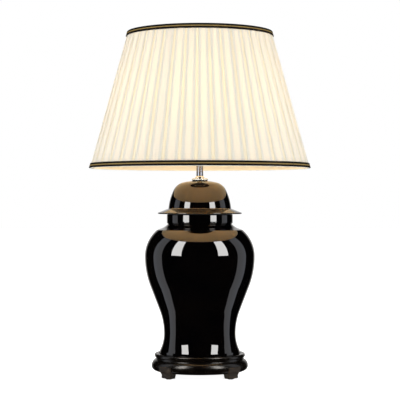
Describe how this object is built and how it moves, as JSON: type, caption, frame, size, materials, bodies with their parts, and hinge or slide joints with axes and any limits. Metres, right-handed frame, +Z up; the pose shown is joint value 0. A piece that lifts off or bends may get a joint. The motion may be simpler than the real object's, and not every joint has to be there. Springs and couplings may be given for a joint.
{
  "type": "table lamp",
  "caption": "Table lamp: black glazed temple jar with domed lid on a footed turned wood stand, nickel stem, push-bar lampholder and lined, pleated empire shade on a wire carrier.",
  "frame": {"origin": "on the table under the lamp's axis, at the middle of the felt pads", "axes": "+Z up along the stem, -Y front, +X right seen from the front; the cord inlet faces +Y"},
  "size_m": [0.4568, 0.4568, 0.7086],
  "materials": {
    "stand_wood": "dark stained, satin",
    "foot_wood": "stained, worn",
    "felt": "felt",
    "screw_steel": "zinc plated",
    "rod_steel": "zinc plated",
    "grommet": "black moulded",
    "rubber": "soft",
    "black_glaze": "high gloss glaze",
    "nickel": "polished nickel",
    "holder_metal": "nickel plated",
    "switch_plastic": "glossy",
    "block_plastic": "moulded",
    "porcelain": "unglazed",
    "contact_brass": "plain",
    "bulb_glass": "opal",
    "bulb_cap": "plain",
    "carrier_wire": "brass plated",
    "frame_wire": "white coating",
    "shade_cloth": "pleated ivory",
    "lining_cloth": "smooth cream",
    "striped_trim": "woven black and gold stripes"
  },
  "bodies": {
    "base": {"wood_stand": "stand_wood", "foot_front_left": "foot_wood", "foot_front_right": "foot_wood", "foot_rear_right": "foot_wood", "foot_rear_left": "foot_wood", "felt_pad_front_left": "felt", "felt_pad_front_right": "felt", "felt_pad_rear_right": "felt", "felt_pad_rear_left": "felt", "underside_felt": "felt", "jar_felt": "felt", "lid_felt": "felt", "foot_screws": "screw_steel", "rod_nut": "screw_steel", "lock_washer": "screw_steel", "broad_washer": "screw_steel", "threaded_rod": "rod_steel", "cord_grommet": "grommet", "cap_washer": "rubber", "jar_body": "black_glaze", "jar_lid": "black_glaze", "nickel_cap": "nickel", "stem_cone": "nickel", "stem_tube": "nickel", "holder_cap": "holder_metal", "holder_body": "holder_metal", "switch_block": "block_plastic", "porcelain_disc": "porcelain", "terminal_screws": "contact_brass", "centre_contact": "contact_brass", "screw_shell": "contact_brass"},
    "switch": {"switch_bar": "switch_plastic"},
    "clamp_ring": {"holder_ring": "holder_metal"},
    "bulb": {"bulb_glass": "bulb_glass", "bulb_cap": "bulb_cap", "bulb_insulator": "block_plastic", "bulb_contact": "contact_brass"},
    "carrier": {"carrier_plate": "carrier_wire", "carrier_hoop": "carrier_wire", "carrier_leg_1": "carrier_wire", "carrier_leg_2": "carrier_wire", "carrier_leg_3": "carrier_wire", "carrier_leg_4": "carrier_wire"},
    "shade": {"shade_lower_ring": "frame_wire", "shade_upper_ring": "frame_wire", "shade_struts": "frame_wire", "shade_seat_ring": "frame_wire", "shade_arm_1": "frame_wire", "shade_arm_2": "frame_wire", "shade_arm_3": "frame_wire", "shade_cover": "shade_cloth", "shade_lining": "lining_cloth", "lower_trim": "striped_trim", "upper_trim": "striped_trim"}
  },
  "joints": [
    {"name": "switch_push", "type": "slide", "parent": "base", "child": "switch", "axis": [1, 0, 0], "range_m": [0, 0.005]},
    {"name": "holder_ring_turn", "type": "hinge", "parent": "base", "child": "clamp_ring", "pos_m": [0, 0, 0.478], "axis": [0, 0, 1], "continuous": true},
    {"name": "bulb_turn", "type": "hinge", "parent": "base", "child": "bulb", "pos_m": [0, 0, 0.49], "axis": [0, 0, 1], "continuous": true},
    {"name": "shade_turn", "type": "hinge", "parent": "base", "child": "carrier", "pos_m": [0, 0, 0.474], "axis": [0, 0, 1], "continuous": true},
    {"name": "shade_lift", "type": "slide", "parent": "carrier", "child": "shade", "axis": [0, 0, 1], "range_m": [0, 0.28]}
  ]
}
